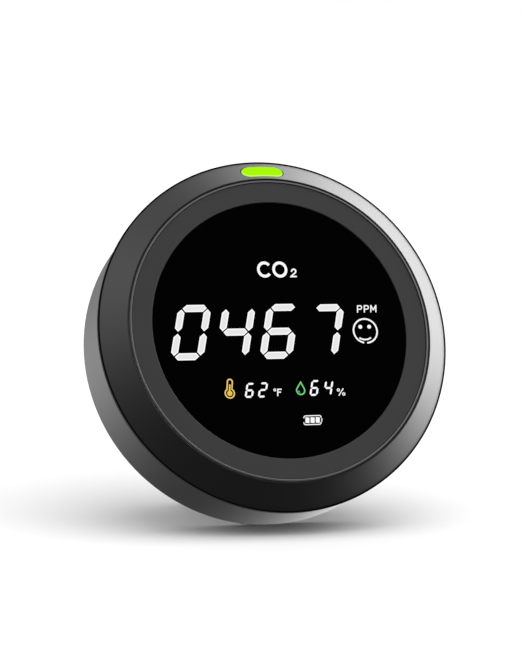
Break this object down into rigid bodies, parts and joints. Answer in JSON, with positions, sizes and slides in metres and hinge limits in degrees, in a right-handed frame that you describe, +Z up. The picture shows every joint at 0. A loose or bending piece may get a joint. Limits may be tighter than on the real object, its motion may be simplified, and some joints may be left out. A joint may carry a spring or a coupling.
{
  "type": "air quality monitor",
  "caption": "Round tabletop air quality monitor with a chamfered dark case, a black lit display, a backlit push key on its bezel and a fold-out rear leg.",
  "frame": {"origin": "centre of the object's footprint box, on the surface it stands on, with the leg opened", "axes": "+Z up, +X to the right of a person reading the display, +Y from the display towards the leg; the display faces -Y and leans back 22 degrees"},
  "size_m": [0.0784, 0.0484, 0.078],
  "materials": {
    "shell_plastic": "fine satin texture, dark grey",
    "trim_plastic": "satin, a little lighter than the case",
    "ring_plastic": "smooth matt dark grey",
    "window": "polished black",
    "lit_white": "translucent diffuser, lit white",
    "lit_amber": "translucent diffuser, lit amber",
    "lit_green": "translucent diffuser, lit green",
    "lit_lime": "translucent key, lit lime green",
    "led_white": "clear LED bodies",
    "black_plastic": "moulded black",
    "circuit_board": "green solder mask",
    "flex_film": "amber polyimide film",
    "chip": "moulded epoxy",
    "sensor_gold": "satin gilt housing",
    "filter_white": "porous membrane",
    "cell_foil": "satin laminated foil",
    "foam": "closed-cell foam tape",
    "steel": "plain steel",
    "dark_steel": "blackened steel",
    "rubber": "matt black rubber",
    "mesh_cloth": "fine dust mesh"
  },
  "bodies": {
    "case": {"front_bezel": "shell_plastic", "trim_ring": "trim_plastic", "face_ring": "ring_plastic", "display_lens": "window", "digit_segments": "lit_white", "legend_inserts": "lit_white", "thermometer_insert": "lit_amber", "droplet_insert": "lit_green", "display_reflector": "black_plastic", "display_board": "circuit_board", "display_flex": "flex_film", "mid_frame": "black_plastic", "frame_screws": "steel", "main_board": "circuit_board", "board_screws": "steel", "board_chips": "chip", "co2_sensor": "sensor_gold", "co2_filter": "filter_white", "climate_sensor": "chip", "battery_cell": "cell_foil", "battery_pad": "foam", "buzzer": "black_plastic", "usb_socket": "steel", "usb_tongue": "black_plastic", "key_switch": "steel", "key_leds": "led_white", "key_board": "circuit_board", "seal_ring": "rubber", "rear_housing": "shell_plastic", "rim_foot": "rubber", "back_cover": "shell_plastic", "cover_screws": "dark_steel", "vent_mesh": "mesh_cloth", "hinge_pin": "steel"},
    "key": {"light_key": "lit_lime", "switch_plunger": "black_plastic"},
    "stand": {"stand_leg": "shell_plastic", "stand_foot": "rubber"}
  },
  "joints": [
    {"name": "key_press", "type": "slide", "parent": "case", "child": "key", "axis": [0, 0.4226, -0.9063], "range_m": [0, 0.0004], "stiffness_N_per_m": 800},
    {"name": "leg_hinge", "type": "hinge", "parent": "case", "child": "stand", "pos_m": [0, 0.01784, 0.06174], "axis": [1, 0, 0], "range_deg": [-26, 0]}
  ]
}
